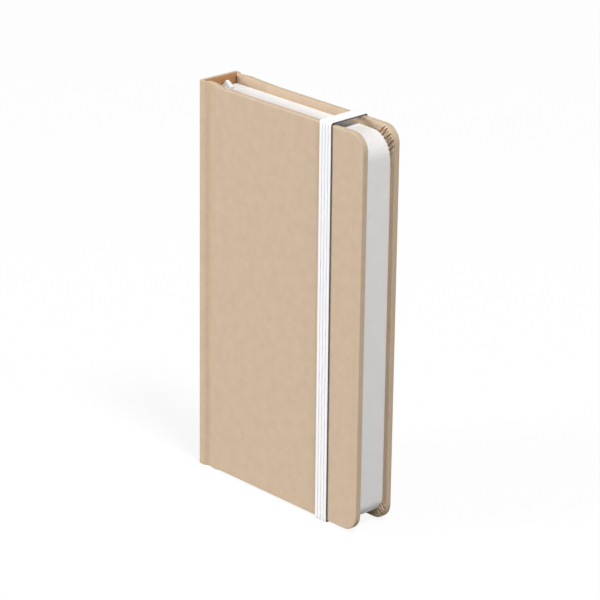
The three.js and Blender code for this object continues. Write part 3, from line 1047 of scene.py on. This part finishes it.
def make_band(material, band_shade):
    """The flat ribbed elastic round the closed book, moving with the closure band's body."""
    pitch = (BAND_WIDTH - 2 * BAND_EDGE) / BAND_RIBS
    x = BAND_X + BAND_EDGE + pitch / 2
    path = bpy.data.curves.new("band path", "CURVE")
    path.dimensions = "3D"
    spline = path.splines.new("POLY")
    points = band_path()
    spline.points.add(len(points) - 1)
    for point, (y, z) in zip(spline.points, points):
        point.co = (*at(x + band_shift(y, z), y, z), 1)
    source = scene_object("band path", path)
    values = {"Ribs": BAND_RIBS, "Rib width": (pitch - RIB_GAP) * MM, "Rib pitch": pitch * MM,
              "Thickness": BAND_THICKNESS * MM, "Material": material}
    piece = grown("elastic_closure", source, make_band_tree(), values, material, 40)
    # Painted shade: the inner side and cut edges take the dark grey, so the band looks shaded under and
    # beside it.
    piece.data.materials.append(band_shade)
    for polygon in piece.data.polygons:
        polygon.material_index = 1 if shows_band_shade(polygon) else 0
    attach(piece, "closure_band")
    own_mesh(piece)
    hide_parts("elastic_band")


# Ribbon marker

def ribbon_line():
    """Near edge, sideways turn, outward lean and height of the ribbon, from glued end to loose end."""
    raised_x = RIBBON_RAISED_PLACE[0]
    crest = TEXT_HEAD + RIBBON_HUMP
    stations = [(RIBBON_GLUED_PLACE, QUARTER, 0.0, z) for z in spread(RIBBON_GLUED_END, TEXT_HEAD, 4)]
    for share in spread(0.0, 1.0, 12)[1:]:
        place = Vector(RIBBON_GLUED_PLACE).lerp(Vector(RIBBON_RAISED_PLACE), share)
        height = TEXT_HEAD + RIBBON_HUMP * math.sin(share * QUARTER)
        stations.append((place, QUARTER * (1 - share), 0.0, height))
    for lean in spread(0.0, math.pi, 8)[1:]:
        place = (raised_x, RIBBON_LOOSE_Y + RIBBON_ROLL * (1 + math.cos(lean)))
        stations.append((place, 0.0, lean, crest + RIBBON_ROLL * math.sin(lean)))
    for z in spread(TEXT_HEAD - 1, RIBBON_LOOSE_END, 20):
        stations.append(((raised_x, RIBBON_LOOSE_Y), 0.0, math.pi, z))
    return stations


def make_ribbon(material):
    """The white ribbon: glued to the folds, over the text block's head and down between the leaves."""
    across_steps = 8
    shape = bmesh.new()
    weave_map = shape.loops.layers.uv.new("UVMap")
    places = {}
    rings = []
    travelled = 0.0
    before = None
    for (near_x, near_y), turn, lean, z in ribbon_line():
        wide = Vector((math.cos(turn), math.sin(turn), 0))
        out = Vector((-math.sin(turn) * math.cos(lean), math.cos(turn) * math.cos(lean), math.sin(lean)))
        start = Vector((near_x, near_y, z))
        if before is not None:
            travelled += (start - before).length
        before = start
        ring = []
        for side, order in ((-1, range(across_steps + 1)), (1, range(across_steps, -1, -1))):
            for k in order:
                share = k / across_steps
                place = start + wide * (RIBBON_WIDTH * share) + out * (RIBBON_HALF * side)
                if place.z > TEXT_HEAD:
                    droop = RIBBON_DROOP * ((share - RIBBON_CREST) / (1 - RIBBON_CREST)) ** 2
                    place.z = TEXT_HEAD + (place.z - TEXT_HEAD) * (1 - droop)
                vertex = shape.verts.new(at(*place))
                places[vertex] = (RIBBON_WIDTH * share * MM, travelled * MM)
                ring.append(vertex)
        rings.append(ring)
    join_rings(shape, rings)
    for face in shape.faces:
        for loop in face.loops:
            loop[weave_map].uv = places[loop.vert]
    piece = mesh_object("ribbon", shape, material, 60)
    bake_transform(piece)
    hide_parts("ribbon_marker")


# Setting

def make_light(name, place, size, power):
    """A square softbox that faces the book."""
    data = bpy.data.lights.new(name, "AREA")
    data.shape = "SQUARE"
    data.size = size
    data.energy = power
    light = scene_object(name, data)
    light.location = place
    light.rotation_euler = (Vector(LIGHT_AIM) - Vector(place)).to_track_quat("-Z", "Y").to_euler()


def make_world():
    """Even white studio light; the camera sees plain white."""
    world = bpy.data.worlds.new("studio")
    world.use_nodes = True
    bpy.context.scene.world = world
    tree = world.node_tree
    tree.nodes.clear()
    output = tree.nodes.new("ShaderNodeOutputWorld")
    seen = add_node(tree, "ShaderNodeBackground", Color=(1, 1, 1, 1), Strength=1.0)
    shed = add_node(tree, "ShaderNodeBackground", Color=(1, 1, 1, 1), Strength=ROOM_STRENGTH)
    path = tree.nodes.new("ShaderNodeLightPath")
    pick = tree.nodes.new("ShaderNodeMixShader")
    direct = math_node(tree, "MAXIMUM", path.outputs["Is Camera Ray"], path.outputs["Is Glossy Ray"])
    tree.links.new(direct, pick.inputs[0])
    tree.links.new(shed.outputs[0], pick.inputs[1])
    tree.links.new(seen.outputs[0], pick.inputs[2])
    tree.links.new(pick.outputs[0], output.inputs[0])


def make_floor():
    """A wide table that the camera sees as white, with the book's soft shadow on it."""
    shape = bmesh.new()
    half = TABLE_SIZE / 2
    corners = ((-half, -half, 0), (half, -half, 0), (half, half, 0), (-half, half, 0))
    shape.faces.new([shape.verts.new(corner) for corner in corners])
    shader = Shader("white table")
    seen = shader.add("ShaderNodeLightPath").outputs["Is Camera Ray"]
    shader.link(shader.mix(seen, TABLE_BOUNCE, TABLE_SEEN), shader.surface.inputs["Base Color"])
    shader.surface.inputs["Roughness"].default_value = 0.9
    glow = shader.add("ShaderNodeEmission", Strength=1.0)
    pick = shader.add("ShaderNodeMixShader")
    output = shader.tree.nodes["Material Output"]
    shader.link(math_node(shader.tree, "MULTIPLY", seen, TABLE_GLOW), pick.inputs[0])
    shader.link(shader.surface.outputs[0], pick.inputs[1])
    shader.link(glow.outputs[0], pick.inputs[2])
    shader.link(pick.outputs[0], output.inputs["Surface"])
    mesh_object("floor", shape, shader.material)


def main():
    """Dress the CAD model and set up its picture."""
    bpy.context.scene.view_settings.view_transform = "Standard"
    make_camera()
    paints = make_materials()
    for paint, nodes in (
        ("board", ("front_board", "back_board")),
        ("kraft", ("spine_lining",)),
        ("gauze", ("spine_mull",)),
        ("thread", [f"binding_thread_{number}" for number in range(1, 5)]),
        ("elastic", ("elastic_end_head", "elastic_end_tail")),
    ):
        for node in nodes:
            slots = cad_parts[node].data.materials
            slots.clear()
            slots.append(paints[paint])
    make_front_sheet(paints["kraft"])
    make_back_sheet(paints["kraft"])
    make_spine_shade_strip(paints["spine_shade_paper"])
    make_spine_board(paints["board"])
    for cover, side, body in COVERS:
        for end in ("head", "tail"):
            make_corner_pleats(f"{cover}_{end}_pleats", side, body, end == "head", paints["kraft"])
    make_endpapers(paints["endpaper"])
    make_flyleaves(paints["endpaper"])
    make_sections(paints["page"])
    make_band(paints["elastic"], paints["band_shade"])
    make_ribbon(paints["satin"])
    make_floor()
    make_world()
    for name, place, size, power in SOFTBOXES:
        make_light(name, place, size, power)


main()
